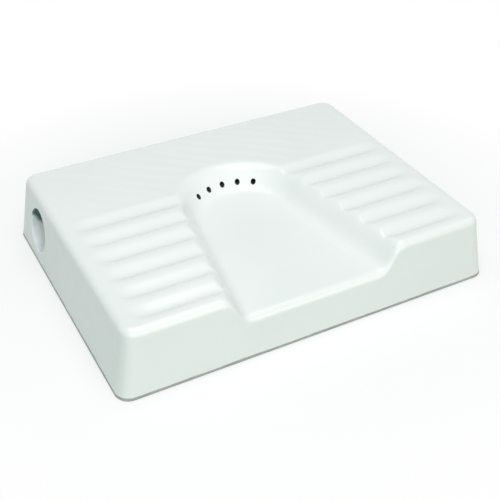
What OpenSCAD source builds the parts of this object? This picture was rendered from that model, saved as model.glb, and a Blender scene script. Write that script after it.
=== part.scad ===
// Floor urinal for women: one glazed ceramic deck with two ribbed foot rests, a tapered trough
// that is open at the front, and five flush holes fed from an inlet in the left wall.
// X runs to the right, Y to the rear and Z up. The origin is the middle of the foot, on the floor.

/* [Body] */
// Width of the body at its foot
base_w = 590; // [570:1:630]
// Depth of the body at its foot, front to rear
base_d = 445; // [440:1:475]
// Height of the deck above the floor
body_h = 105; // [102:1:114]
// How far each side wall leans in between foot and deck
side_draft = 16; // [8:1:20]
// How far the front and rear walls lean in between foot and deck
end_draft = 7.5; // [4:0.5:12]
// Radius of the four upright corners
corner_r = 21; // [18:1:28]
// Radius that rounds the deck over into the walls
edge_r = 12; // [8:1:14]
// Thickness of the skirt walls
wall_t = 11; // [9:0.5:12]
// Thickness of the deck
deck_t = 12; // [10:0.5:13]
// Bevel round the bottom edge of the foot
foot_bevel = 1.5; // [0.5:0.5:3]

/* [Trough] */
// Radius of the floor's round rear end
floor_r = 71; // [64:1:76]
// Radius of the rim's round rear end
rim_r = 107; // [102:1:112]
// Place of the centre of the floor's rear end, front to rear
floor_y = -11; // [-16:1:-6]
// Place of the centre of the rim's rear end, front to rear
rim_y = -4; // [-8:1:0]
// Angle by which each side of the trough opens towards the front
taper = 9.2; // [6:0.2:11]
// Height of the trough floor where it leaves the front
floor_z = 67.5; // [64:0.5:72]
// Rise of the trough floor over its length, so that it drains forwards
floor_rise = 3.5; // [2:0.5:6]
// Steepness of the trough wall, where 1 is a straight ramp
steepness = 1.8; // [1.5:0.1:2.2]
// Thickness of the trough's floor and walls
trough_t = 10; // [8:0.5:11]
// Radius that rounds the trough over into the front wall
lip_r = 12; // [8:1:14]

/* [Foot rests] */
// Number of grooves in each foot rest
groove_count = 6; // [4:1:6]
// Distance from one groove to the next
groove_pitch = 43; // [38:1:44]
// Place of the rearmost groove, front to rear
first_groove_y = 31; // [26:1:34]
// Depth of a groove
groove_depth = 4.6; // [2:0.2:6]
// Distance from the middle to a groove's outer end
groove_end_x = 250; // [235:1:254]
// Length over which a groove runs out at its outer end
groove_fade = 16; // [8:1:24]

/* [Flushing] */
// Number of flush holes
hole_count = 5; // [3:2:5]
// Diameter of a flush hole
hole_d = 8; // [6:0.5:9]
// Angle between two flush holes
hole_step = 18; // [14:1:19]
// Height of the flush holes above the floor
hole_z = 81; // [79:0.5:83]
// Diameter of the opening in the left wall
opening_d = 65; // [60:1:68]
// Diameter of the socket that takes the flush pipe's seal
socket_d = 62; // [56:1:64]
// Depth of that socket
socket_depth = 42; // [30:1:60]
// How far the boss round the opening stands out from the inside of the wall
boss_lift = 5; // [4:0.5:8]
// Distance from the rear edge of the foot to the middle of the inlet
inlet_rear_gap = 91; // [87:0.5:96]
// Clearance between the socket and the underside of the deck
socket_drop = 2.5; // [1:0.5:6]
// Diameter of the water way behind the socket
duct_d = 40; // [32:1:44]
// Thickness of the socket and duct walls
duct_t = 8; // [6:0.5:8]
// Width of the flush chamber
chamber_w = 230; // [210:2:240]
// Place of the chamber's front wall
chamber_front_y = 58; // [56:1:62]
// Distance from the rear edge of the foot to the chamber's rear wall
chamber_rear_gap = 48.5; // [44.5:0.5:50.5]
// Height of the chamber's underside
chamber_z = 18; // [12:1:22]
// Thickness of the chamber's walls
chamber_t = 9; // [7:0.5:10]

/* [Webs] */
// Thickness of the webs under the deck
web_t = 10; // [8:0.5:12]
// Distance from the floor to the underside of a web
web_lift = 6; // [3:1:12]
// Distance from the middle to each web under the trough
trough_web_x = 60; // [54:1:64]
// Place of the front pair of side webs
front_web_y = -118; // [-126:1:-105]
// Place of the rear pair of side webs
rear_web_y = -8; // [-20:1:10]
// Radius of the passages through the webs
passage_r = 20; // [12:1:22]

/* [Hidden] */

glaze = [0.93, 0.95, 0.945];
bisque = [0.88, 0.86, 0.8];

$fn = 48;
thin = 0.01;
margin = 10;

top_w = base_w - 2 * side_draft;
top_d = base_d - 2 * end_draft;
deck_under_z = body_h - deck_t;
// The draft ends where the rounded deck edge begins
draft_h = body_h - edge_r;
// Inner edge between the skirt and the deck, bevelled for strength
inner_bevel = 7;

trough_rings = 12;
arc_steps = 24;
lip_steps = 4;
// The trough's edge stays this far below the deck
rim_step = 0.2;
// Sideways share of the trough's thickness, where the wall slopes
trough_side = 0.7;
// The rounded front lip dies out towards the rim by this power
lip_power = 6;
grade_step = 0.02;
wall_run = rim_r - floor_r;

groove_steps = 4;
groove_reach = 0.42 * groove_pitch;
groove_start_x = 55;
groove_over = 0.3;

chamber_top_z = deck_under_z;
chamber_rear_y = base_d / 2 - chamber_rear_gap;
chamber_depth = chamber_rear_y - chamber_front_y;
chamber_mid_y = (chamber_rear_y + chamber_front_y) / 2;
chamber_corner = 18;
// Length of the cone between the socket and the water way
neck_length = 12;
// Places of the passages in a web, as shares of its length
trough_web_passages = [0.28, 0.62];
side_web_passages = [0.5];

function mix(a, b, u) = a + (b - a) * u;

// Width and depth of the outside at a height, straight up the draft
function outer_w(z) = base_w - 2 * side_draft * z / draft_h;
function outer_d(z) = base_d - 2 * end_draft * z / draft_h;
front_face_y = -outer_d((floor_z + draft_h) / 2) / 2;

// The flat face inside the left wall that the socket is stuck to, clear of the skirt's bevel
socket_r = socket_d / 2 + duct_t;
duct_r = duct_d / 2 + duct_t;
inlet_y = base_d / 2 - inlet_rear_gap;
inlet_z = deck_under_z - socket_drop - socket_r;
boss_x = -outer_w(inlet_z + socket_r) / 2 + wall_t + boss_lift;
socket_end_x = boss_x + socket_depth;
duct_start_x = socket_end_x + duct_t + neck_length;
duct_end_x = -chamber_w / 2;

// Height of the trough wall as a fraction, over a fraction of its run: hollow foot, rounded rim
function wall_rise(u) = pow(u, steepness) / (pow(u, steepness) + pow(1 - u, steepness));
function wall_grade(u) =
  let (a = max(0, u - grade_step), b = min(1, u + grade_step))
  (wall_rise(b) - wall_rise(a)) / (b - a);
function floor_at(y) = floor_z + floor_rise * (y + base_d / 2) / base_d;
function trough_at(y, u) = mix(floor_at(y), body_h - rim_step, wall_rise(u));

// How far the lip has rounded over, at a distance behind the front face
function lip_drop(t) = t >= lip_r ? 0 : lip_r - sqrt(max(0, pow(lip_r, 2) - pow(lip_r - t, 2)));

// Distances behind the front face at which the trough's sides have points
lip_stops = concat([-3 * margin, 0], [for (i = [1 : lip_steps]) lip_r * (1 - cos(90 * i / lip_steps))]);

// One point on the side of the trough: side is -1 or 1, t is the distance behind the front face
function side_point(side, u, t, grow, drop) =
  let (
    y = front_face_y + t,
    r = mix(floor_r, rim_r, u) + grow,
    x = r / cos(taper) + (mix(floor_y, rim_y, u) - y) * tan(taper),
    slope = atan(wall_grade(u) * (body_h - floor_z) / wall_run),
    d = grow > 0 ? 0 : lip_drop(max(0, t)) * (1 - pow(u, lip_power))
  )
  [side * (x + d * sin(slope)), y, trough_at(y, u) - drop - d * cos(slope)];

// One point on the round rear end of the trough, from the left side to the right side
function arc_point(i, u, grow, drop) =
  let (
    angle = 180 - taper - i * (180 - 2 * taper) / arc_steps,
    r = mix(floor_r, rim_r, u) + grow,
    y = mix(floor_y, rim_y, u) + r * sin(angle)
  )
  [r * cos(angle), y, trough_at(y, u) - drop];

function trough_ring(u, grow, drop) = concat(
  [for (t = lip_stops) side_point(-1, u, t, grow, drop)],
  [for (i = [0 : arc_steps]) arc_point(i, u, grow, drop)],
  [for (k = [len(lip_stops) - 1 : -1 : 0]) side_point(1, u, lip_stops[k], grow, drop)]
);

function lifted(ring, z) = [for (p = ring) [p[0], p[1], z]];

// Solid bounded by the trough's wall and floor, moved outwards by grow and down by drop
module trough_solid(grow, drop) {
  rings = concat(
    [for (k = [0 : trough_rings]) trough_ring(k / trough_rings, grow, drop)],
    [lifted(trough_ring(1, grow, drop), body_h + margin)]
  );
  n = len(rings[0]);
  m = len(rings);
  stops = len(lip_stops) - 1;
  walls = [
    for (k = [0 : m - 2]) for (i = [0 : n - 1])
    [k * n + i, k * n + (i + 1) % n, (k + 1) * n + (i + 1) % n, (k + 1) * n + i]
  ];
  lip_floor = [for (j = [0 : stops - 1]) [n - 1 - j, n - 2 - j, j + 1, j]];
  flat_floor = [[for (i = [n - 1 - stops : -1 : stops]) i]];
  cover = [[for (i = [0 : n - 1]) (m - 1) * n + i]];
  polyhedron([for (r = rings) each r], concat(walls, lip_floor, flat_floor, cover), convexity = 4);
}

// Height of a groove's surface at a distance from its middle: sharp below, rounding up to its crests
function groove_at(y) = body_h + groove_over
  - (groove_depth + groove_over) * (1 - sin(180 * abs(y) / groove_pitch));

module groove_section() {
  polygon(concat(
    [[-groove_reach, body_h + margin]],
    [
      for (i = [-groove_steps : groove_steps])
      [groove_reach * i / groove_steps, groove_at(groove_reach * i / groove_steps)]
    ],
    [[groove_reach, body_h + margin]]
  ));
}

// The grooves of the right foot rest, which run from the trough to a ramp at their outer ends
module grooves() {
  low_z = body_h - 2 * groove_depth;
  ramp_x = groove_end_x - 2 * groove_fade;
  intersection() {
    for (i = [0 : groove_count - 1])
      translate([groove_start_x, first_groove_y - i * groove_pitch, 0])
        rotate([90, 0, 90])
          linear_extrude(groove_end_x + margin - groove_start_x)
            groove_section();
    translate([0, base_d / 2, 0])
      rotate([90, 0, 0])
        linear_extrude(base_d)
          polygon([
            [groove_start_x - 1, low_z],
            [ramp_x, low_z],
            [groove_end_x + groove_fade * margin / groove_depth, body_h + margin],
            [groove_start_x - 1, body_h + margin]
          ]);
  }
}

module slab(w, d, r, z) {
  translate([0, 0, z])
    linear_extrude(thin)
      offset(r)
        square([w - 2 * r, d - 2 * r], center = true);
}

// Outside of the body, with its drafted walls and rounded deck edge
module body_form() {
  hull() {
    slab(base_w - 2 * foot_bevel, base_d - 2 * foot_bevel, corner_r - foot_bevel, 0);
    slab(base_w, base_d, corner_r, foot_bevel);
    for (x = [-1, 1], y = [-1, 1])
      translate([x * (top_w / 2 - corner_r), y * (top_d / 2 - corner_r), draft_h])
        rotate_extrude()
          translate([corner_r - edge_r, 0])
            intersection() {
              circle(edge_r);
              square(edge_r);
            }
  }
}

// Hollow under the deck, before the trough takes its part of it
module hollow_form() {
  inner_r = corner_r - wall_t;
  hull() {
    slab(outer_w(-1) - 2 * wall_t, outer_d(-1) - 2 * wall_t, inner_r, -1);
    slab(
      outer_w(deck_under_z - inner_bevel) - 2 * wall_t,
      outer_d(deck_under_z - inner_bevel) - 2 * wall_t,
      inner_r, deck_under_z - inner_bevel
    );
    slab(
      outer_w(deck_under_z) - 2 * wall_t - 2 * inner_bevel,
      outer_d(deck_under_z) - 2 * wall_t - 2 * inner_bevel,
      inner_r, deck_under_z - thin
    );
  }
}

// Outside of the trough's own wall, seen from below
module trough_body() {
  trough_solid(trough_side * trough_t, trough_t);
}

// Space under the deck, which the webs share out between them
module hollow() {
  difference() {
    hollow_form();
    trough_body();
  }
}

// Flush holes, level and fanned out from the middle of the trough's rear end
module flush_holes() {
  spread = (hole_count - 1) / 2;
  for (i = [-spread : spread])
    translate([0, rim_y, hole_z])
      rotate([0, 0, i * hole_step])
        rotate([-90, 0, 0])
          translate([0, 0, floor_r])
            cylinder(h = wall_run + trough_t, d = hole_d);
}

module along_x(x, y, z) {
  translate([x, y, z])
    rotate([0, 90, 0])
      children();
}

// Flat boss inside the left wall, round the opening
module inlet_boss() {
  intersection() {
    along_x(-base_w / 2, inlet_y, inlet_z)
      cylinder(h = boss_x + base_w / 2, r = socket_r);
    body_form();
  }
}

module pan() {
  color(glaze)
    difference() {
      union() {
        difference() {
          body_form();
          hollow();
          trough_solid(0, 0);
        }
        inlet_boss();
      }
      grooves();
      mirror([1, 0, 0])
        grooves();
      flush_holes();
      along_x(-base_w / 2 - margin, inlet_y, inlet_z)
        cylinder(h = boss_x + base_w / 2 + 2 * margin, d = opening_d);
    }
}

// Open box fixed under the deck behind the trough, which spreads the water to the flush holes
module flush_chamber() {
  color(bisque)
    difference() {
      translate([0, chamber_mid_y, chamber_z])
        linear_extrude(chamber_top_z - chamber_z)
          chamber_outline(0);
      translate([0, chamber_mid_y, chamber_z + chamber_t])
        linear_extrude(chamber_top_z - chamber_z)
          chamber_outline(chamber_t);
      trough_body();
      along_x(-chamber_w / 2 - margin, inlet_y, inlet_z)
        cylinder(h = chamber_t + 2 * margin, d = duct_d);
    }
}

// Plan of the chamber, with its two rear corners rounded
module chamber_outline(inset) {
  w = chamber_w - 2 * inset;
  d = chamber_depth - 2 * inset;
  r = chamber_corner - inset;
  translate([-w / 2, -d / 2])
    square([w, d - r]);
  translate([-w / 2 + r, d / 2 - r])
    square([w - 2 * r, r]);
  for (x = [-1, 1])
    translate([x * (w / 2 - r), d / 2 - r])
      circle(r);
}

// Socket behind the opening in the left wall, which takes the flush pipe's seal
module inlet_socket() {
  color(bisque)
    difference() {
      union() {
        along_x(boss_x, inlet_y, inlet_z)
          cylinder(h = socket_depth + duct_t, r = socket_r);
        along_x(socket_end_x + duct_t, inlet_y, inlet_z)
          cylinder(h = neck_length, r1 = socket_r, r2 = duct_r);
      }
      along_x(boss_x - margin, inlet_y, inlet_z)
        cylinder(h = socket_depth + margin, d = socket_d);
      along_x(boss_x, inlet_y, inlet_z)
        cylinder(h = duct_start_x - boss_x + margin, d = duct_d);
    }
}

// Water way from the socket to the chamber
module inlet_duct() {
  color(bisque)
    difference() {
      along_x(duct_start_x, inlet_y, inlet_z)
        cylinder(h = duct_end_x - duct_start_x, r = duct_r);
      along_x(duct_start_x - margin, inlet_y, inlet_z)
        cylinder(h = duct_end_x - duct_start_x + 2 * margin, d = duct_d);
    }
}

// Upright web from one point of the plan to another, up to the underside of the deck or trough
module web(from, to, passages) {
  run = to - from;
  length = norm(run);
  color(bisque)
    intersection() {
      hollow();
      translate([from[0], from[1], 0])
        rotate([0, 0, atan2(run[1], run[0])])
          difference() {
            translate([0, -web_t / 2, web_lift])
              cube([length, web_t, body_h]);
            for (p = passages)
              translate([p * length, 0, web_lift])
                rotate([90, 0, 0])
                  cylinder(h = 2 * web_t, r = passage_r, center = true);
          }
    }
}

module trough_web(side) {
  x = side * trough_web_x;
  web([x, -base_d / 2], [x, chamber_front_y], trough_web_passages);
}

module side_web(side, y) {
  web([side * (trough_web_x + web_t / 2), y], [side * base_w / 2, y], side_web_passages);
}

module trough_web_left() trough_web(-1);
module trough_web_right() trough_web(1);
module side_web_left_front() side_web(-1, front_web_y);
module side_web_left_rear() side_web(-1, rear_web_y);
module side_web_right_front() side_web(1, front_web_y);
module side_web_right_rear() side_web(1, rear_web_y);
module back_web() web([0, chamber_rear_y], [0, base_d / 2], []);
module corner_web() web([chamber_w / 2, chamber_mid_y], [base_w / 2, chamber_mid_y], side_web_passages);

pan();
flush_chamber();
inlet_socket();
inlet_duct();
trough_web_left();
trough_web_right();
side_web_left_front();
side_web_left_rear();
side_web_right_front();
side_web_right_rear();
back_web();
corner_web();
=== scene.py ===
# Looks of a floor urinal for women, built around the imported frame. X is to the right, Y to the rear, Z up.
# Shapes are in millimetres and become metres when a mesh is made. Lamps, camera and noise are in metres.
import bpy
import bmesh
import math
import numpy as np
from mathutils import Matrix, Vector


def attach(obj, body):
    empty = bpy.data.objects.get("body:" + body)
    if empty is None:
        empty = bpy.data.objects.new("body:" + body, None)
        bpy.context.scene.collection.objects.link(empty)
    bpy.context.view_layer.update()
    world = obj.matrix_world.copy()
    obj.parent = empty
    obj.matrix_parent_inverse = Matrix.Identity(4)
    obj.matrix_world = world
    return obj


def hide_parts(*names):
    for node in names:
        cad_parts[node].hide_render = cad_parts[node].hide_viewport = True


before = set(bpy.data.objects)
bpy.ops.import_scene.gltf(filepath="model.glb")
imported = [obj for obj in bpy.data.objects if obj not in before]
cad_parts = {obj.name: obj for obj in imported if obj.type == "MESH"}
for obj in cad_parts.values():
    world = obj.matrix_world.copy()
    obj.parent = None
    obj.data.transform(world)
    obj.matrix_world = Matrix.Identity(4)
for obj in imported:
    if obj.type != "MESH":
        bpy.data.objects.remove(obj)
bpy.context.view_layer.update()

# Body, as in the part's source
BASE_W = 590.0
BASE_D = 445.0
BODY_H = 105.0
SIDE_DRAFT = 16.0
END_DRAFT = 7.5
CORNER_R = 21.0
EDGE_R = 12.0
WALL_T = 11.0
DECK_T = 12.0
FOOT_BEVEL = 1.5
FOOT_INNER_BEVEL = 1.0
INNER_BEVEL = 7.0
DRAFT_H = BODY_H - EDGE_R
TOP_W = BASE_W - 2 * SIDE_DRAFT
TOP_D = BASE_D - 2 * END_DRAFT

# Half sizes of the deck's grid, and of the rectangles between the corners' centres at the deck and the foot
GRID_X = TOP_W / 2 - EDGE_R
GRID_Y = TOP_D / 2 - EDGE_R
GRID_CORNER_R = CORNER_R - EDGE_R
CORE_X = TOP_W / 2 - CORNER_R
CORE_Y = TOP_D / 2 - CORNER_R
FOOT_X = BASE_W / 2 - CORNER_R
FOOT_Y = BASE_D / 2 - CORNER_R

# Trough: the round rear ends of its floor and its rim, and its wall, with a fillet and a round in the glaze
FLOOR_R = 71.0
FLOOR_Y = -11.0
RIM_R = 107.0
RIM_Y = -4.0
TAPER = math.radians(9.2)
FLOOR_Z = 67.5
FLOOR_RISE = 3.5
STEEP = 1.8
TROUGH_T = 10.0
FILLET = 0.10
RIM_ROUND = 0.08
RIM_FADE = (0.9, 1.15)
UNDER_GROW = 0.7 * TROUGH_T
UNDER_RIM_GAP = 0.2

# Grooves of the foot rests. Rounding the bottom leaves about 5 mm of the depth
GROOVES = 6
PITCH = 43.0
FIRST_Y = 31.0
GROOVE_DEPTH = 6.6
GROOVE_ROUND = 0.22
GROOVE_END_X = 257.0
RUN_OUT = 34.0
RUN_OUT_POWER = 0.9

# A rib between two grooves, as shares of the pitch: it rises steeply, bends over and falls gently
RISE_SLOPE = 1.5
BEND_START = 0.2
BEND_END = 0.6
BEND = 3.125
CREST = 0.44
CREST_H = 0.48

# How the crests are levelled off with the deck, in mm, and how grooves and trough run together
CREST_OVER = 0.3
CREST_SOFT = 0.08
CREST_FADE = (-0.45, -0.1)
BLEND_POWER = 5.0
TINY = 1e-9

# Inlet and flush holes
INLET_Y = 131.5
INLET_Z = 51.5
OPENING_D = 65.0
OPENING_ROUND = 2.6
SOCKET_D = 62.0
SOCKET_DEPTH = 42.0
DUCT_D = 40.0
DUCT_T = 8.0
NECK = 12.0
CHAMBER_W = 230.0
BOSS_LIFT = 5.0
HOLES = 5
HOLE_D = 8.0
HOLE_STEP = 18.0
HOLE_Z = 81.0
LEAN = SIDE_DRAFT / DRAFT_H
WALL_X = -BASE_W / 2 + LEAN * INLET_Z
SOCKET_R = SOCKET_D / 2 + DUCT_T
BOSS_X = WALL_X + LEAN * SOCKET_R + WALL_T + BOSS_LIFT
STEP_X = BOSS_X + SOCKET_DEPTH
NECK_X = STEP_X + DUCT_T
DUCT_X = NECK_X + NECK
DUCT_END_X = -CHAMBER_W / 2

# Surface: flutes of the rear band, unevenness of the casting, and the bare edge at the foot, which is
# darkened as painted shade
FLUTE_H = 0.26
FLUTE_PITCH = 24.0
FLUTE_WAY = (0.64, 0.77)
FLUTE_FADE_SIDE = (250, 232)
FLUTE_FADE_FRONT = (58, 70)
FLUTE_FADE_REAR = (196, 184)
FLUTE_FADE_TROUGH = (1.08, 1.3)
DECK_DENT = 0.16
TROUGH_DENT = 0.14
WALL_DENT = 0.35
BARE_FOOT = 5.2

# Lines of the deck's grid: steps across the trough and behind the ribs, counts elsewhere, and the lines'
# distances from a groove
GRID_STEP_MIDDLE = 2.6
GRID_STEP_REAR = 2.3
MIDDLE_END_X = 161
SIDE_LINES = 25
CORNER_LINES_X = 7
CORNER_LINES_Y = 6
FRONT_GAP = 0.6
GROOVE_LINES = np.array([0, 0.7, 1.5, 2.6, 4.0, 6.0, 8.5, 11.2, 14.2, 17.8])

# Rings of the skin: round the deck's edge, down the wall, and up the wall inside
EDGE_RINGS = 9
WALL_RINGS = 11
INNER_RINGS = 7
INNER_BEVEL_RINGS = 4

# Colours of the finishes, as stops of a ramp
GLAZE_TONES = [(0.3, (0.855, 0.892, 0.878)), (0.7, (0.885, 0.908, 0.9))]
CLAY_TONES = [(0.3, (0.66, 0.63, 0.56)), (0.55, (0.72, 0.69, 0.62)), (0.75, (0.77, 0.745, 0.69))]
# Foot band: bare clay, darkened grey-green as painted shade where the foot meets the floor
FOOT_CLAY_AND_SHADE_TONES = [(0.3, (0.36, 0.385, 0.375)), (0.7, (0.48, 0.505, 0.49))]
# Inlet glaze: paler than the outer glaze near the mouth as painted light, and dark green-black above and
# further in as painted shade
BORE_LIGHT_AND_SHADE_TONES = [(0.0, (0.93, 0.98, 0.99)), (0.4, (0.50, 0.62, 0.59)), (1.0, (0.08, 0.15, 0.135))]
# Near-black for the flush holes' walls: painted shade where the holes look dark
HOLE_SHADE_TONES = [(0.3, (0.02, 0.022, 0.02)), (0.7, (0.05, 0.05, 0.045))]

# Gloss, and how deep in the inlet the painted shade on its glaze sets in, in metres
GLAZE_IOR = 1.52
GLAZE_ROUGHNESS = (0.16, 0.25)
CLAY_ROUGHNESS = (0.75, 0.92)
BORE_ROUGHNESS = (0.18, 0.26)
BORE_SHADE_FROM = 0.010
BORE_SHADE_TO = 0.019

# World light, from above and from low behind, where it fades with height
SKY = 0.58
SKY_COLOUR = (0.86, 1.0, 0.96, 1)
BACK = 2.0
BACK_SLOPE = 3.0
WHITE = (1, 1, 1, 1)

# Floor: its colours, its half size, and where, in metres, it turns from partly white to wholly white
FLOOR_PALE = (0.97, 0.97, 0.97, 1)
FLOOR_BOUNCE = (0.52, 0.59, 0.555, 1)
FLOOR_HALF = 9000.0
FLOOR_NEAR = 0.33
FLOOR_FAR = 0.62
FLOOR_NEAR_WHITE = 0.60

# The point that the soft boxes light, and each one's name, place, size, level and colour
LIT_POINT = (-0.05, -0.05, 0.1)
SOFT_BOXES = [
    ("top", (-0.12, -0.20, 1.78), 1.4, 0.54, (1.0, 0.95, 0.98)),
    ("fill_left", (-1.20, -2.05, 0.90), 1.8, 0.32, (0.97, 1.0, 0.98)),
    ("fill_right", (0.70, -2.40, 0.75), 1.5, 0.215, (1.0, 0.92, 0.86)),
]

# Camera, from the photo's perspective
CAMERA_PLACE = (-0.5313, -1.0211, 0.8399)
CAMERA_YAW = 0.487
CAMERA_PITCH = 0.629
FOCAL_PIXELS = 906.9
FRAME_PIXELS = 500.0
SENSOR_MM = 36.0


# Heights of the deck and of its underside
def smooth(a, b, v):
    """Smooth step from 0 at a to 1 at b."""
    t = np.clip((v - a) / (b - a), 0.0, 1.0)
    return t * t * (3 - 2 * t)


def waves(x, y, size, seed):
    """Slow, shallow unevenness of slip-cast ware, between about -1 and 1."""
    rng = np.random.RandomState(seed)
    v = np.zeros(np.broadcast(x, y).shape)
    count = 9
    for _ in range(count):
        a = rng.uniform(0, 2 * math.pi)
        k = 2 * math.pi / (size * rng.uniform(0.7, 1.9))
        phase = rng.uniform(0, 6.28)
        v = v + np.sin(k * (x * math.cos(a) + y * math.sin(a)) + phase)
    return v / (count / 2)


def trough_u(x, y, grow):
    """Where a point lies between the floor's edge, 0, and the rim, 1, of a trough made wider by grow."""
    ax = np.abs(x)
    dr, dy = RIM_R - FLOOR_R, RIM_Y - FLOOR_Y
    r0 = FLOOR_R + grow
    # Beside the straight sides
    side0 = r0 / math.cos(TAPER) + (FLOOR_Y - y) * math.tan(TAPER)
    side1 = (RIM_R + grow) / math.cos(TAPER) + (RIM_Y - y) * math.tan(TAPER)
    beside = (ax - side0) / (side1 - side0)
    # Round the rear end, where a circle grows from the floor's to the rim's
    q = y - FLOOR_Y
    a = dy * dy - dr * dr
    b = -2 * (q * dy + r0 * dr)
    c = ax * ax + q * q - r0 * r0
    behind = (-b - np.sqrt(np.maximum(b * b - 4 * a * c, 0))) / (2 * a)
    angle = np.arctan2(q - behind * dy, ax)
    return np.where(angle > TAPER, behind, beside)


def wall_rise(u):
    """The trough's wall in the solid, from 0 at the floor to 1 at the rim."""
    u = np.clip(u, 0.0, 1.0)
    a, b = u ** STEEP, (1 - u) ** STEEP
    return a / (a + b)


def soft_rise(u):
    """The trough's wall in the glaze, with a fuller fillet below and a rounder rim."""
    t = np.clip((u + FILLET) / (1 + FILLET + RIM_ROUND), 0.0, 1.0)
    return t * t / (t * t + (1 - t) ** 2)


def floor_at(y):
    """Height of the trough's floor, which falls to the front."""
    return FLOOR_Z + FLOOR_RISE * (y + BASE_D / 2) / BASE_D


def rib_height(t):
    """Height of a rib, 1 at its crest, where t runs from 0 at one groove to 1 at the next one in front."""
    rise = RISE_SLOPE * t - BEND * np.maximum(t - BEND_START, 0) ** 2
    return np.where(t < BEND_END, rise, 1 - t) / CREST_H


def groove_depth_at(x, y):
    """Depth of the foot rests' grooves below the deck, round at the bottom and run out at the outer end."""
    rear_crest = FIRST_Y + (1 - CREST) * PITCH
    front_crest = FIRST_Y - (GROOVES - 1 + CREST) * PITCH
    rib = rib_height(np.mod((FIRST_Y - y) / PITCH, 1.0))
    rib = np.where((y > rear_crest) | (y < front_crest), 1.0, rib)
    rib = np.minimum(np.sqrt(rib * rib + GROOVE_ROUND ** 2), 1.0)
    depth = (GROOVE_DEPTH + CREST_OVER) * (1 - rib) - CREST_OVER
    depth = 0.5 * (depth + np.sqrt(depth * depth + CREST_SOFT)) * smooth(*CREST_FADE, depth)
    run = np.clip((GROOVE_END_X - np.abs(x)) / RUN_OUT, 0, 1)
    return np.maximum(depth * np.sin(math.pi / 2 * run) ** RUN_OUT_POWER, 0)


def flutes(x, y):
    """Shallow slanting flutes of the rear band, faded out at its edges and at the trough."""
    across = FLUTE_WAY[0] * x + FLUTE_WAY[1] * y
    f = np.sin(2 * math.pi * across / FLUTE_PITCH + 0.9 * waves(x, y, size=120, seed=21))
    f = FLUTE_H * np.sign(f) * np.abs(f) ** 0.6 * (0.75 + 0.25 * waves(x, y, size=150, seed=22))
    edge = smooth(*FLUTE_FADE_SIDE, np.abs(x)) * smooth(*FLUTE_FADE_FRONT, y) * smooth(*FLUTE_FADE_REAR, y)
    rim = smooth(*FLUTE_FADE_TROUGH, trough_u(x, y, 0))
    return f * edge * rim


def deck_z(x, y):
    """Height of the glazed top. The power sum rounds the ribs' ends into the trough's wall."""
    u = trough_u(x, y, 0)
    trough = (BODY_H - floor_at(y)) * (1 - soft_rise(u))
    groove = groove_depth_at(x, y)
    powers = np.maximum(trough, TINY) ** BLEND_POWER + np.maximum(groove, TINY) ** BLEND_POWER
    depth = powers ** (1 / BLEND_POWER)
    on_deck = smooth(*RIM_FADE, u)
    dents = DECK_DENT * (waves(x, y, size=130, seed=3) - 1) * on_deck
    dents = dents + TROUGH_DENT * (waves(x, y, size=90, seed=8) - 1) * (1 - on_deck)
    return BODY_H - FLUTE_H - depth + dents + flutes(x, y) * on_deck


def under_z(x, y):
    """Height of the hidden side: the deck's underside, and the trough's, which bulges down."""
    u = trough_u(x, y, UNDER_GROW)
    z = floor_at(y) + (BODY_H - UNDER_RIM_GAP - floor_at(y)) * wall_rise(u) - TROUGH_T
    return np.where(u >= 1, BODY_H - DECK_T, np.minimum(z, BODY_H - DECK_T))


def lean_at(draft, z):
    """How far a wall has leant inward at a height."""
    return draft * z / DRAFT_H


def wall_angle(draft):
    """Lean of a wall whose line runs from the foot to the round of the deck's edge."""
    dx, dz = draft + EDGE_R, DRAFT_H - FOOT_BEVEL
    return math.atan2(dx, dz) - math.asin(EDGE_R / math.hypot(dx, dz))


# Mesh of the glazed casting
def grid_lines():
    """Lines of the deck's grid, closer at the grooves, the trough and the corners."""
    middle = np.arange(0, MIDDLE_END_X, GRID_STEP_MIDDLE)
    side = np.linspace(middle[-1], GRID_X - GRID_CORNER_R, SIDE_LINES)[1:]
    corner = GRID_X - GRID_CORNER_R * (1 - np.linspace(0, 1, CORNER_LINES_X)[1:])
    right = np.concatenate([middle, side, corner])
    xs = np.concatenate([-right[:0:-1], right])

    ribs_end = FIRST_Y + PITCH / 2
    ribs = [ribs_end]
    for i in range(GROOVES):
        y = FIRST_Y - i * PITCH
        ribs += [*(y + GROOVE_LINES), *(y - GROOVE_LINES), y - PITCH / 2]
    ribs = [y for y in ribs if y > FRONT_GAP - GRID_Y]
    rear = np.arange(ribs_end + GRID_STEP_REAR, GRID_Y - GRID_CORNER_R, GRID_STEP_REAR)
    corner = GRID_Y - GRID_CORNER_R * (1 - np.linspace(0, 1, CORNER_LINES_Y))
    ys = np.unique(np.round(np.concatenate([ribs, rear, corner, [-GRID_Y]]), 4))
    return xs, ys


def round_corner(x, y, hx, hy, r):
    """Moves a rectangle's corner zones onto quarter discs of radius r. Gives each point's zone and angle."""
    u = (np.abs(x) - (hx - r)) / r
    v = (np.abs(y) - (hy - r)) / r
    zone = (u > 0) & (v > 0)
    rho = np.where(zone, np.maximum(u, v), 0)
    us, vs = np.where(zone, u, 1), np.where(zone, v, 1)
    theta = np.where(us >= vs, math.pi / 4 * vs / us, math.pi / 2 - math.pi / 4 * us / vs)
    nx = np.where(zone, (hx - r) + r * rho * np.cos(theta), np.abs(x)) * np.sign(x)
    ny = np.where(zone, (hy - r) + r * rho * np.sin(theta), np.abs(y)) * np.sign(y)
    return nx, ny, zone, theta


def border_loop(nx, ny):
    """Indices of a grid's border, once round, against the clock, from the front left corner."""
    idx = np.arange(nx * ny).reshape(ny, nx)
    return np.concatenate([idx[0, :], idx[1:, -1], idx[-1, -2::-1], idx[-2:0:-1, 0]])


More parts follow.
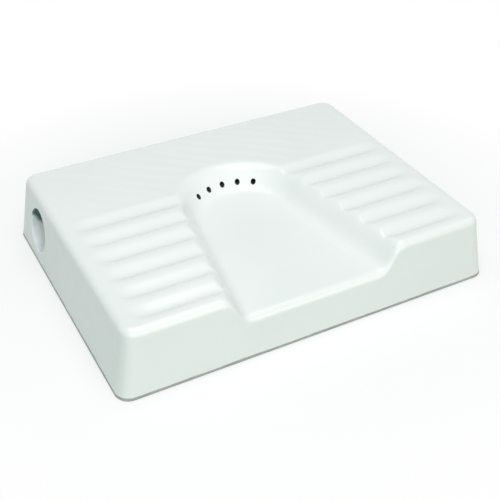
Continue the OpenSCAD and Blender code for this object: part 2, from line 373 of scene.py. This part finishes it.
class Border:
    """The grid's border points: which way is out, and where they lie along the rectangle inside."""

    def __init__(self, x, y, zone, theta):
        sx, sy = np.sign(x), np.sign(y)
        on_end = np.abs(np.abs(y) - GRID_Y) < 1e-6
        out_x = np.where(zone, np.cos(theta) * sx, np.where(on_end, 0 * x, sx))
        out_y = np.where(zone, np.sin(theta) * sy, np.where(on_end, sy, 0 * y))
        self.out = np.stack([out_x, out_y, 0 * x], -1)
        self.along_x = np.clip(x / CORE_X, -1, 1)
        self.along_y = np.clip(y / CORE_Y, -1, 1)

    def ring(self, half_x, half_y, reach, z):
        """Closed ring at height z, reach outside the rectangle of those half sizes."""
        x = self.along_x * half_x + self.out[:, 0] * reach
        y = self.along_y * half_y + self.out[:, 1] * reach
        return np.stack([x, y, 0 * x + z], -1)


def edge_rings(border, height):
    """Rings of the round edge between the top and the walls. In front it follows the trough's floor."""
    tan_a = np.abs(border.out[:, 0]) * math.tan(wall_angle(SIDE_DRAFT))
    tan_a = tan_a + np.abs(border.out[:, 1]) * math.tan(wall_angle(END_DRAFT))
    front = border.out[:, 1] < -0.99
    # The edge's start and the height of the top there are found in turns, until they agree
    for _ in range(4):
        reach = CORNER_R - EDGE_R + (BODY_H - height) * tan_a
        start = border.ring(CORE_X, CORE_Y, reach, height)
        height = np.where(front, deck_z(start[:, 0], start[:, 1]), height)
    rings = []
    for k in range(1, EDGE_RINGS + 1):
        phi = (math.pi / 2 - np.arctan(tan_a)) * k / EDGE_RINGS
        z = height - EDGE_R + EDGE_R * np.cos(phi)
        rings.append(border.ring(CORE_X, CORE_Y, reach + EDGE_R * np.sin(phi), z))
    return rings


def wall_rings(border, edge, foot):
    """Rings down the outer wall, evenly to the glaze's lower edge, and a last one at the foot."""
    s = np.concatenate([[0], np.cumsum(np.linalg.norm(np.diff(foot, axis=0), axis=1))])
    glaze_z = BARE_FOOT + 0.5 * waves(s, 0 * s, size=60, seed=11) + 0.3 * waves(s, 0 * s, size=17, seed=12)
    glaze_t = (edge[:, 2] - glaze_z) / (edge[:, 2] - FOOT_BEVEL)
    shares = [glaze_t * (k / WALL_RINGS) for k in range(1, WALL_RINGS + 1)]
    shares.append(np.ones(len(s)))
    rings = []
    for share in shares:
        t = share[:, None]
        p = edge * (1 - t) + foot * t
        fade = np.sin(math.pi * np.clip(share, 0, 1)) ** 0.5
        dent = WALL_DENT * (waves(s * 0.9, p[:, 2] * 1.3, size=170, seed=5) - 1) * fade
        rings.append(p + border.out * dent[:, None])
    return rings


def foot_rings(border):
    """Rings of the foot's bevel and of its flat face on the floor."""
    bevel = [(0.3 * FOOT_BEVEL, 0.3 * FOOT_BEVEL), (FOOT_BEVEL, 0)]
    face = [(WALL_T / 2, 0), (WALL_T - FOOT_INNER_BEVEL, 0)]
    return [border.ring(FOOT_X, FOOT_Y, CORNER_R - inset, z) for inset, z in bevel + face]


def inner_rings(border, under_height):
    """Rings up the inside of the skirt, from the foot to the bevel under the deck."""
    heights = [FOOT_INNER_BEVEL + 0 * under_height]
    insets = [0.0]
    for k in range(1, INNER_RINGS + 1):
        rise = under_height - INNER_BEVEL - FOOT_INNER_BEVEL
        heights.append(FOOT_INNER_BEVEL + rise * k / INNER_RINGS)
        insets.append(0.0)
    for k in range(1, INNER_BEVEL_RINGS):
        a = math.pi / 2 * k / INNER_BEVEL_RINGS
        heights.append(under_height - INNER_BEVEL * (1 - math.sin(a)))
        insets.append(INNER_BEVEL * (1 - math.cos(a)))
    rings = []
    for z, inset in zip(heights, insets):
        half_x, half_y = FOOT_X - lean_at(SIDE_DRAFT, z), FOOT_Y - lean_at(END_DRAFT, z)
        rings.append(border.ring(half_x, half_y, CORNER_R - WALL_T - inset, z))
    return rings


def under_points(gx, gy):
    """The hidden side's grid, which has the deck's lines drawn in to the inside of the skirt."""
    half_x = BASE_W / 2 - lean_at(SIDE_DRAFT, BODY_H - DECK_T) - WALL_T - INNER_BEVEL
    half_y = BASE_D / 2 - lean_at(END_DRAFT, BODY_H - DECK_T) - WALL_T - INNER_BEVEL
    scaled_x, scaled_y = gx * half_x / GRID_X, gy * half_y / GRID_Y
    x, y, _, _ = round_corner(scaled_x, scaled_y, half_x, half_y, CORNER_R - WALL_T)
    return np.stack([x, y, under_z(x, y)], -1).reshape(-1, 3)


def skin_faces(nx, ny, ring_count):
    """Faces of the top grid, of the bands from ring to ring, and of the under grid, as three arrays."""
    idx = np.arange(nx * ny).reshape(ny, nx)
    quads = np.stack([idx[:-1, :-1], idx[:-1, 1:], idx[1:, 1:], idx[1:, :-1]], -1).reshape(-1, 4)
    loop = border_loop(nx, ny)
    m = len(loop)
    under_start = nx * ny + ring_count * m
    loops = [loop]
    loops += [nx * ny + k * m + np.arange(m) for k in range(ring_count)]
    loops.append(loop + under_start)
    bands = [np.stack([a, b, np.roll(b, -1), np.roll(a, -1)], -1) for a, b in zip(loops, loops[1:])]
    return quads, np.concatenate(bands), quads[:, ::-1] + under_start


def pan_arrays():
    """Vertices, in mm, faces and material slots of the whole glazed casting, as one closed skin."""
    xs, ys = grid_lines()
    gx, gy = np.meshgrid(xs, ys)
    loop = border_loop(len(xs), len(ys))
    x, y, zone, theta = round_corner(gx, gy, GRID_X, GRID_Y, GRID_CORNER_R)
    top = np.stack([x, y, deck_z(x, y)], -1).reshape(-1, 3)
    under = under_points(gx, gy)
    border = Border(*(v.reshape(-1)[loop] for v in (gx, gy, zone, theta)))

    edge = edge_rings(border, top[loop, 2])
    foot = border.ring(FOOT_X, FOOT_Y, CORNER_R, FOOT_BEVEL)
    wall = wall_rings(border, edge[-1], foot)
    rings = edge + wall + foot_rings(border) + inner_rings(border, under[loop, 2])
    verts = np.concatenate([top, *rings, under])
    deck, bands, below = skin_faces(len(xs), len(ys), len(rings))
    faces = np.concatenate([deck, bands, below])

    # Glaze to the bare edge, then four bands of foot clay darkened with painted shade, then bare clay
    glazed = len(deck) + (len(edge) + len(wall) - 1) * len(loop)
    bare = 4 * len(loop)
    slots = np.repeat([0, 1, 2], [glazed, bare, len(faces) - glazed - bare])
    return verts, faces, slots


# Node graphs
class Graph:
    """Short ways to add nodes to a node tree, which is emptied first."""

    def __init__(self, tree):
        self.nodes = tree.nodes
        self.links = tree.links
        self.nodes.clear()

    def node(self, kind, **values):
        """New node, with the inputs that are named set to the values."""
        n = self.nodes.new(kind)
        for name, value in values.items():
            n.inputs[name].default_value = value
        return n

    def calc(self, operation, a, b):
        """Sum, product or the like of two values, each a float or a node's output."""
        n = self.nodes.new("ShaderNodeMath")
        n.operation = operation
        for entry, value in zip(n.inputs, (a, b)):
            if isinstance(value, float):
                entry.default_value = value
            else:
                self.links.new(value, entry)
        return n.outputs[0]

    def noise(self, place, scale, detail, rough=0.5):
        """Noise over a place, from about 0.3 to 0.7."""
        n = self.node("ShaderNodeTexNoise", Scale=scale, Detail=detail, Roughness=rough)
        self.links.new(place, n.inputs["Vector"])
        return n.outputs["Fac"]

    def ramp(self, fac, stops):
        """Colour ramp from (position, colour) stops."""
        r = self.nodes.new("ShaderNodeValToRGB")
        elements = r.color_ramp.elements
        while len(elements) < len(stops):
            elements.new(0.5)
        for element, (position, colour) in zip(elements, stops):
            element.position = position
            element.color = (*colour, 1)
        self.links.new(fac, r.inputs["Fac"])
        return r.outputs["Color"]

    def map_range(self, fac, start, end, low, high):
        """Maps start to low and end to high, and stays level beyond them."""
        r = self.nodes.new("ShaderNodeMapRange")
        for name, value in (("From Min", start), ("From Max", end), ("To Min", low), ("To Max", high)):
            r.inputs[name].default_value = value
        self.links.new(fac, r.inputs["Value"])
        return r.outputs["Result"]

    def bump(self, bsdf, height, strength, distance):
        """Bump on a surface, from a height."""
        b = self.node("ShaderNodeBump", Strength=strength, Distance=distance)
        self.links.new(height, b.inputs["Height"])
        self.links.new(b.outputs["Normal"], bsdf.inputs["Normal"])

    def mix(self, share, first, second):
        """Mix of two shaders, with the share of the second."""
        m = self.nodes.new("ShaderNodeMixShader")
        self.links.new(share, m.inputs["Fac"])
        self.links.new(first, m.inputs[1])
        self.links.new(second, m.inputs[2])
        return m.outputs["Shader"]

    def seen(self):
        """1 for rays that show the background, straight or in gloss or glass, and 0 for rays that light."""
        path = self.nodes.new("ShaderNodeLightPath").outputs
        gloss = self.calc("MAXIMUM", path["Is Camera Ray"], path["Is Glossy Ray"])
        return self.calc("MAXIMUM", gloss, path["Is Transmission Ray"])


# Materials
def material(name):
    """New material, its graph, its Principled node and the place on the object."""
    mat = bpy.data.materials.new(name)
    mat.use_nodes = True
    graph = Graph(mat.node_tree)
    bsdf = graph.node("ShaderNodeBsdfPrincipled")
    out = graph.node("ShaderNodeOutputMaterial")
    graph.links.new(bsdf.outputs["BSDF"], out.inputs["Surface"])
    return mat, graph, bsdf, graph.node("ShaderNodeTexCoord").outputs["Object"]


def glaze_material():
    """White glaze, with a slow drift of tone, cloudy gloss and a fine uneven skin."""
    mat, graph, bsdf, place = material("white_glaze")
    tone = graph.noise(place, scale=9, detail=4)
    gloss = graph.noise(place, scale=38, detail=5, rough=0.6)
    skin = graph.noise(place, scale=210, detail=3)
    graph.links.new(graph.ramp(tone, GLAZE_TONES), bsdf.inputs["Base Color"])
    graph.links.new(graph.map_range(gloss, 0.35, 0.7, *GLAZE_ROUGHNESS), bsdf.inputs["Roughness"])
    graph.bump(bsdf, skin, strength=0.12, distance=0.0004)
    bsdf.inputs["IOR"].default_value = GLAZE_IOR
    return mat


def clay_material(name, tones):
    """Dull fired clay, mottled in tone and finely grained."""
    mat, graph, bsdf, place = material(name)
    tone = graph.noise(place, scale=22, detail=6, rough=0.6)
    grain = graph.noise(place, scale=900, detail=4, rough=0.7)
    graph.links.new(graph.ramp(tone, tones), bsdf.inputs["Base Color"])
    graph.links.new(graph.map_range(grain, 0.3, 0.7, *CLAY_ROUGHNESS), bsdf.inputs["Roughness"])
    graph.bump(bsdf, grain, strength=0.35, distance=0.0003)
    return mat


def bore_painted_light_and_shade_material():
    """Glaze inside the inlet, paler than the outer glaze below and near the mouth as painted light, and
    darkening above and further in as painted shade.
    """
    mat, graph, bsdf, place = material("bore_glaze_painted_light_and_shade")
    # The way in counts 1.2 times as much as the height
    inward = 1.2
    middle = 0.001 * (INLET_Z + inward * WALL_X)
    across = graph.node("ShaderNodeVectorMath")
    across.operation = "DOT_PRODUCT"
    across.inputs[1].default_value = (inward, 0.0, 1.0)
    graph.links.new(place, across.inputs[0])
    run = graph.noise(place, scale=45, detail=4)
    shift = graph.map_range(run, 0.3, 0.7, -0.004, 0.004)
    depth = graph.calc("ADD", across.outputs["Value"], shift)
    # Painted shade: the colour darkens with height and depth into the inlet
    dark = graph.map_range(depth, middle + BORE_SHADE_FROM, middle + BORE_SHADE_TO, 0, 1)
    graph.links.new(graph.ramp(dark, BORE_LIGHT_AND_SHADE_TONES), bsdf.inputs["Base Color"])
    graph.links.new(graph.map_range(run, 0.3, 0.7, *BORE_ROUGHNESS), bsdf.inputs["Roughness"])
    graph.bump(bsdf, run, strength=0.2, distance=0.0006)
    bsdf.inputs["IOR"].default_value = GLAZE_IOR
    return mat


# Finishes
GLAZE = glaze_material()
BARE_CLAY = clay_material("bare_clay", CLAY_TONES)
# Bare foot clay, darkened as painted shade along the floor
FOOT_CLAY_AND_SHADE = clay_material("foot_clay_and_painted_shade", FOOT_CLAY_AND_SHADE_TONES)
# Inlet glaze, with painted light near the mouth and painted shade above and further in
BORE_GLAZE_LIGHT_AND_SHADE = bore_painted_light_and_shade_material()
# Near-black clay in the flush holes, as painted shade
HOLE_SHADE = clay_material("flush_hole_painted_shade", HOLE_SHADE_TONES)


# Mesh tools
def mesh_object(name, verts_mm, faces):
    """New object from vertices in mm and faces."""
    me = bpy.data.meshes.new(name)
    me.from_pydata((np.asarray(verts_mm) * 0.001).tolist(), [], [list(map(int, f)) for f in faces])
    me.update()
    ob = bpy.data.objects.new(name, me)
    bpy.context.scene.collection.objects.link(ob)
    return ob


def circle(x, y, z, radius, tilt=0.0, segments=96):
    """Ring round an axis along X. It leans so that x grows by tilt for each mm of height."""
    a = np.linspace(0, 2 * math.pi, segments, endpoint=False)
    up = radius * np.sin(a)
    return np.stack([x + tilt * up, y + radius * np.cos(a), z + up], -1)


def band(a, b, n):
    """Quads between two rings of n vertices that start at the indices a and b."""
    return [[a + i, a + (i + 1) % n, b + (i + 1) % n, b + i] for i in range(n)]


def rings_mesh(rings):
    """Closed skin through rings of equal length, with a flat end on the first and the last."""
    n = len(rings[0])
    last = (len(rings) - 1) * n
    faces = []
    for k in range(len(rings) - 1):
        faces += band(k * n, (k + 1) * n, n)
    faces += [list(range(n))[::-1], list(range(last, last + n))]
    return np.concatenate(rings), faces


def apply_boolean(ob, tool, operation="DIFFERENCE"):
    """Cuts the tool from the object, or adds it, with the tool's material on the new faces."""
    mod = ob.modifiers.new("cut", "BOOLEAN")
    mod.operation = operation
    mod.solver = "EXACT"
    mod.material_mode = "TRANSFER"
    mod.object = tool
    bpy.context.view_layer.update()
    deps = bpy.context.evaluated_depsgraph_get()
    me = bpy.data.meshes.new_from_object(ob.evaluated_get(deps))
    ob.modifiers.clear()
    old = ob.data
    ob.data = me
    bpy.data.meshes.remove(old)
    bpy.data.objects.remove(tool)


def drop_slivers(ob):
    """Splits the many-sided faces that the cuts leave, and dissolves the needle-thin ones."""
    bm = bmesh.new()
    bm.from_mesh(ob.data)
    bmesh.ops.triangulate(bm, faces=[f for f in bm.faces if len(f.verts) > 4])
    bmesh.ops.dissolve_degenerate(bm, dist=2e-5, edges=bm.edges)
    bm.to_mesh(ob.data)
    bm.free()


def shade(ob, degrees):
    """Smooth shading, with edges sharper than the angle left sharp."""
    ob.data.shade_smooth()
    ob.data.set_sharp_from_angle(angle=math.radians(degrees))


# Pieces
def inlet_boss():
    """Thickening behind the left wall that the socket sits on."""
    rings = [circle(WALL_X + WALL_T / 2, INLET_Y, INLET_Z, SOCKET_R, LEAN),
             circle(BOSS_X - 1.5, INLET_Y, INLET_Z, SOCKET_R),
             circle(BOSS_X - 0.4, INLET_Y, INLET_Z, SOCKET_R - 0.4),
             circle(BOSS_X, INLET_Y, INLET_Z, SOCKET_R - 1.5)]
    boss = mesh_object("boss", *rings_mesh(rings))
    boss.data.materials.append(BARE_CLAY)
    return boss


def opening_tool():
    """Cutter of the opening in the left wall, with a rounded rim."""
    edge, rim = OPENING_D / 2, OPENING_ROUND
    outside, inside = 14.0, 8.0
    profile = [(-outside, edge + rim), (0.0, edge + rim)]
    for a in np.linspace(0.3, math.pi / 2, 7):
        profile.append((rim * (1 - math.cos(a)), edge + rim * (1 - math.sin(a))))
    rings = [circle(WALL_X + x, INLET_Y, INLET_Z, r, LEAN) for x, r in profile]
    rings.append(circle(BOSS_X + inside, INLET_Y, INLET_Z, edge))
    tool = mesh_object("opening", *rings_mesh(rings))
    # The opening's walls take the inlet glaze, with its painted light and shade
    tool.data.materials.append(BORE_GLAZE_LIGHT_AND_SHADE)
    return tool


def flush_tool(degrees):
    """Cutter of one flush hole, at an angle round the trough's rear end, from the trough to the chamber."""
    turn = Matrix.Rotation(math.radians(degrees), 4, "Z")
    move = np.array(Matrix.Translation((0, RIM_Y, HOLE_Z)) @ turn)
    in_trough, in_chamber = FLOOR_R - 4, FLOOR_R + 50
    rings = []
    for x in (in_trough, in_chamber):
        ring = circle(x, 0, 0, HOLE_D / 2, segments=40)
        rings.append(ring @ move[:3, :3].T + move[:3, 3])
    tool = mesh_object("flush_cut", *rings_mesh(rings))
    # The hole's walls are painted near-black as shade
    tool.data.materials.append(HOLE_SHADE)
    return tool


def glazed_pan():
    """The glazed casting, with the boss, the inlet's opening and the flush holes."""
    verts, faces, slots = pan_arrays()
    ob = mesh_object("glazed_pan", verts, faces)
    for finish in (GLAZE, FOOT_CLAY_AND_SHADE, BARE_CLAY):
        ob.data.materials.append(finish)
    ob.data.polygons.foreach_set("material_index", slots.astype(np.int32))
    apply_boolean(ob, inlet_boss(), "UNION")
    apply_boolean(ob, opening_tool())
    for i in range(HOLES):
        apply_boolean(ob, flush_tool(90 + (i - (HOLES - 1) / 2) * HOLE_STEP))
    drop_slivers(ob)
    shade(ob, degrees=32)
    return ob


def in_bore(x, radius):
    """Whether a point of the inlet's profile lies on the socket's bore or the water way's."""
    in_socket = x < STEP_X + 0.1 and radius < SOCKET_D / 2 + 0.5
    return in_socket or radius < DUCT_D / 2 + 0.5


def lathe(name, profile, segments=96):
    """Closed clay skin turned about the inlet's axis, from a loop of (x, radius), and glazed in the bore with
    painted light and shade.
    """
    rings = [circle(x, INLET_Y, INLET_Z, r, 0.0, segments) for x, r in profile]
    m = len(rings)
    inner = [in_bore(x, r) for x, r in profile]
    faces = []
    slots = []
    for k in range(m):
        faces += band(k * segments, (k + 1) % m * segments, segments)
        slots += [int(inner[k] and inner[(k + 1) % m])] * segments
    ob = mesh_object(name, np.concatenate(rings), faces)
    ob.data.materials.append(BARE_CLAY)
    ob.data.materials.append(BORE_GLAZE_LIGHT_AND_SHADE)
    ob.data.polygons.foreach_set("material_index", np.array(slots, dtype=np.int32))
    shade(ob, degrees=40)
    return ob


def socket_body():
    """Socket for the flush pipe's seal, with its neck and a bead of slip at the water way's joint."""
    bore, duct_in, duct_out = SOCKET_D / 2, DUCT_D / 2, DUCT_D / 2 + DUCT_T
    mouth = [(BOSS_X + 1.2, bore), (BOSS_X + 0.3, bore + 0.4), (BOSS_X, bore + 1.4)]
    face = [(BOSS_X, SOCKET_R - 1.5), (BOSS_X + 0.5, SOCKET_R - 0.4), (BOSS_X + 1.6, SOCKET_R)]
    shoulder = [(NECK_X - 5, SOCKET_R), (NECK_X - 1.6, SOCKET_R - 0.5), (NECK_X + 1.2, SOCKET_R - 2.4)]
    bead = [(DUCT_X - 3.5, duct_out + 2.6), (DUCT_X - 1, duct_out + 0.9), (DUCT_X, duct_out)]
    neck = [(DUCT_X, duct_in), (STEP_X + 1, duct_in), (STEP_X + 0.3, duct_in + 0.3), (STEP_X, duct_in + 1.2)]
    step = [(STEP_X, bore - 1.5), (STEP_X - 0.5, bore - 0.4), (STEP_X - 1.8, bore)]
    return lathe("socket_body", mouth + face + shoulder + bead + neck + step)


def duct_body():
    """Water way from the socket to the chamber, with a bead of slip at each end."""
    inside, outside = DUCT_D / 2, DUCT_D / 2 + DUCT_T
    start = [(DUCT_X, inside), (DUCT_X, outside), (DUCT_X + 2.5, outside - 0.5), (DUCT_X + 6, outside - 0.9)]
    end = [(DUCT_END_X - 8, outside - 0.9), (DUCT_END_X - 3.5, outside - 0.6), (DUCT_END_X - 1.2, outside),
           (DUCT_END_X, outside), (DUCT_END_X, inside)]
    return lathe("duct_body", start + end)


# Floor, world, lamps and camera
def floor_material():
    """Pale floor that keeps the shadow, turns pure white far out, and bounces light as a darker one would."""
    mat = bpy.data.materials.new("studio_floor")
    mat.use_nodes = True
    graph = Graph(mat.node_tree)
    dark = graph.node("ShaderNodeBsdfDiffuse", Color=FLOOR_BOUNCE)
    pale = graph.node("ShaderNodeBsdfDiffuse", Color=FLOOR_PALE)
    emit = graph.node("ShaderNodeEmission", Color=WHITE, Strength=1.0)
    away = graph.node("ShaderNodeVectorMath")
    away.operation = "LENGTH"
    graph.links.new(graph.node("ShaderNodeTexCoord").outputs["Object"], away.inputs[0])
    share = graph.map_range(away.outputs["Value"], FLOOR_NEAR, FLOOR_FAR, FLOOR_NEAR_WHITE, 1.0)
    white = graph.mix(share, pale.outputs["BSDF"], emit.outputs["Emission"])
    shown = graph.mix(graph.seen(), dark.outputs["BSDF"], white)
    graph.links.new(shown, graph.node("ShaderNodeOutputMaterial").inputs["Surface"])
    return mat


def studio_floor():
    """Large flat floor under the foot."""
    h = FLOOR_HALF
    ob = mesh_object("studio_floor", [(-h, -h, 0), (h, -h, 0), (h, h, 0), (-h, h, 0)], [[0, 1, 2, 3]])
    ob.data.materials.append(floor_material())
    return ob


def studio_world():
    """World that looks white and sheds soft light from above and from low behind the object."""
    world = bpy.data.worlds.new("studio")
    bpy.context.scene.world = world
    world.use_nodes = True
    graph = Graph(world.node_tree)
    way = graph.node("ShaderNodeSeparateXYZ")
    graph.links.new(graph.node("ShaderNodeTexCoord").outputs["Generated"], way.inputs[0])
    up = graph.calc("MAXIMUM", way.outputs["Z"], 0.0)
    low_behind = graph.calc("SUBTRACT", way.outputs["Y"], graph.calc("MULTIPLY", up, BACK_SLOPE))
    low_behind = graph.calc("MULTIPLY", graph.calc("MAXIMUM", low_behind, 0.0), BACK)
    level = graph.calc("ADD", graph.calc("MULTIPLY", up, SKY), low_behind)

    seen = graph.seen()
    lit = graph.calc("MULTIPLY", level, graph.calc("SUBTRACT", 1.0, seen))
    tint = graph.node("ShaderNodeMix")
    tint.data_type = "RGBA"
    tint.inputs["A"].default_value = SKY_COLOUR
    tint.inputs["B"].default_value = WHITE
    background = graph.node("ShaderNodeBackground")
    graph.links.new(seen, tint.inputs["Factor"])
    graph.links.new(tint.outputs["Result"], background.inputs["Color"])
    graph.links.new(graph.calc("ADD", lit, seen), background.inputs["Strength"])
    out = graph.node("ShaderNodeOutputWorld")
    graph.links.new(background.outputs["Background"], out.inputs["Surface"])


def soft_box(name, place, size, level, colour):
    """Square soft box that gives about the level stated to a surface at the lit point that faces it."""
    away = Vector(LIT_POINT) - Vector(place)
    lamp = bpy.data.lights.new(name, "AREA")
    lamp.shape = "SQUARE"
    lamp.size = size
    lamp.color = colour
    lamp.energy = level * math.pi * math.pi * away.length_squared
    ob = bpy.data.objects.new(name, lamp)
    ob.location = Vector(place)
    ob.rotation_euler = away.to_track_quat("-Z", "Y").to_euler()
    bpy.context.scene.collection.objects.link(ob)


def photo_camera():
    """Camera at the photo's angle."""
    cam = bpy.data.cameras.new("camera")
    cam.sensor_fit = "HORIZONTAL"
    cam.sensor_width = SENSOR_MM
    cam.lens = FOCAL_PIXELS / FRAME_PIXELS * SENSOR_MM
    cam.clip_end = 100
    yaw, pitch = CAMERA_YAW, CAMERA_PITCH
    forward = Vector((math.sin(yaw) * math.cos(pitch), math.cos(yaw) * math.cos(pitch), -math.sin(pitch)))
    ob = bpy.data.objects.new("camera", cam)
    ob.rotation_euler = forward.to_track_quat("-Z", "Y").to_euler()
    ob.location = Vector(CAMERA_PLACE)
    bpy.context.scene.collection.objects.link(ob)
    return ob


# The scene
pan = glazed_pan()
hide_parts("pan")
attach(pan, "root")

socket = socket_body()
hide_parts("inlet_socket")
duct = duct_body()
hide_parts("inlet_duct")
for piece in (socket, duct):
    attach(piece, "root")

for node_name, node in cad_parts.items():
    if node_name not in ("pan", "inlet_socket", "inlet_duct"):
        node.data.materials.clear()
        node.data.materials.append(BARE_CLAY)

floor = studio_floor()
studio_world()
for values in SOFT_BOXES:
    soft_box(*values)
bpy.context.scene.camera = photo_camera()
bpy.context.scene.view_settings.view_transform = "Standard"
